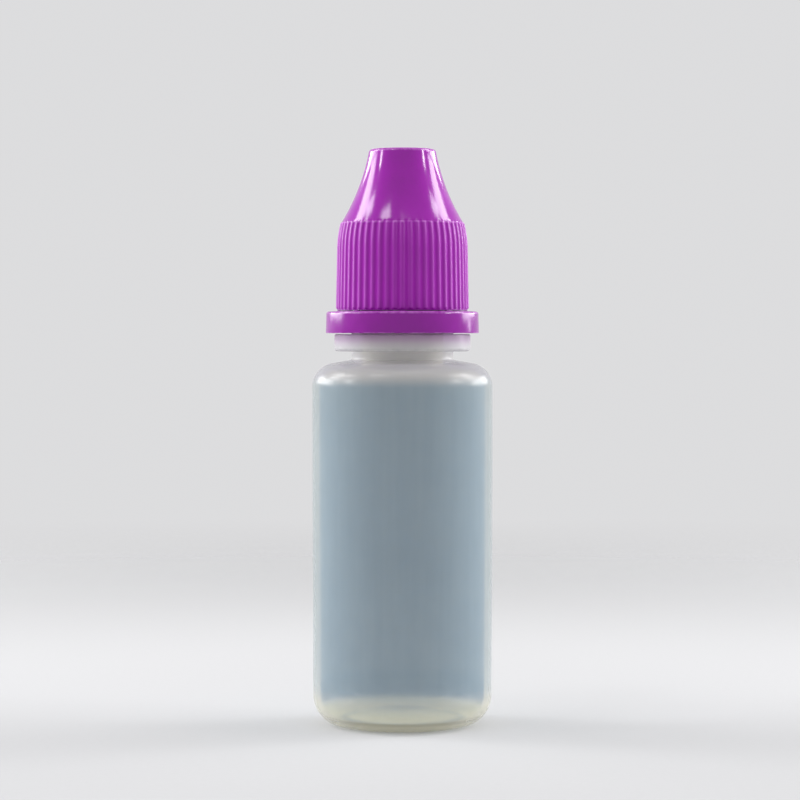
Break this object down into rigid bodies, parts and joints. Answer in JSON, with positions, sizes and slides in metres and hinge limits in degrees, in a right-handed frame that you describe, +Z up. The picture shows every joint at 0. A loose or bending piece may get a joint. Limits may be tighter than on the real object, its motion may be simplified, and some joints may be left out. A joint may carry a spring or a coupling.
{
  "type": "eye drop bottle",
  "caption": "Small round squeeze bottle in milky plastic with a snap-in dropper tip, a ribbed conical screw cap and a tear-off band under it.",
  "frame": {"origin": "on the floor, at the middle of the bottle's foot", "axes": "+Z up along the bottle's axis, +X to the right and +Y away from the viewer of the picture"},
  "size_m": [0.022, 0.022, 0.0703],
  "materials": {
    "milky_plastic": "satin, milky and half clear natural low-density polyethylene",
    "tip_plastic": "satin, milky natural low-density polyethylene",
    "cap_plastic": "glossy purple polypropylene, satin on the ribs",
    "ring_plastic": "glossy purple polypropylene"
  },
  "bodies": {
    "bottle": {"bottle": "milky_plastic", "dropper_tip": "tip_plastic"},
    "tamper_ring": {"tamper_ring": "ring_plastic"},
    "cap": {"cap": "cap_plastic"}
  },
  "joints": [
    {"name": "cap_turn", "type": "hinge", "parent": "bottle", "child": "tamper_ring", "pos_m": [0, 0, 0.0492], "axis": [0, 0, 1], "range_deg": [0, 2520]},
    {"name": "cap_lift", "type": "slide", "parent": "tamper_ring", "child": "cap", "axis": [0, 0, 1], "range_m": [0, 0.0211]}
  ],
  "couplings": [
    {"joint": "cap_lift", "follows": "cap_turn", "m_per_rad": 0.00047746}
  ]
}
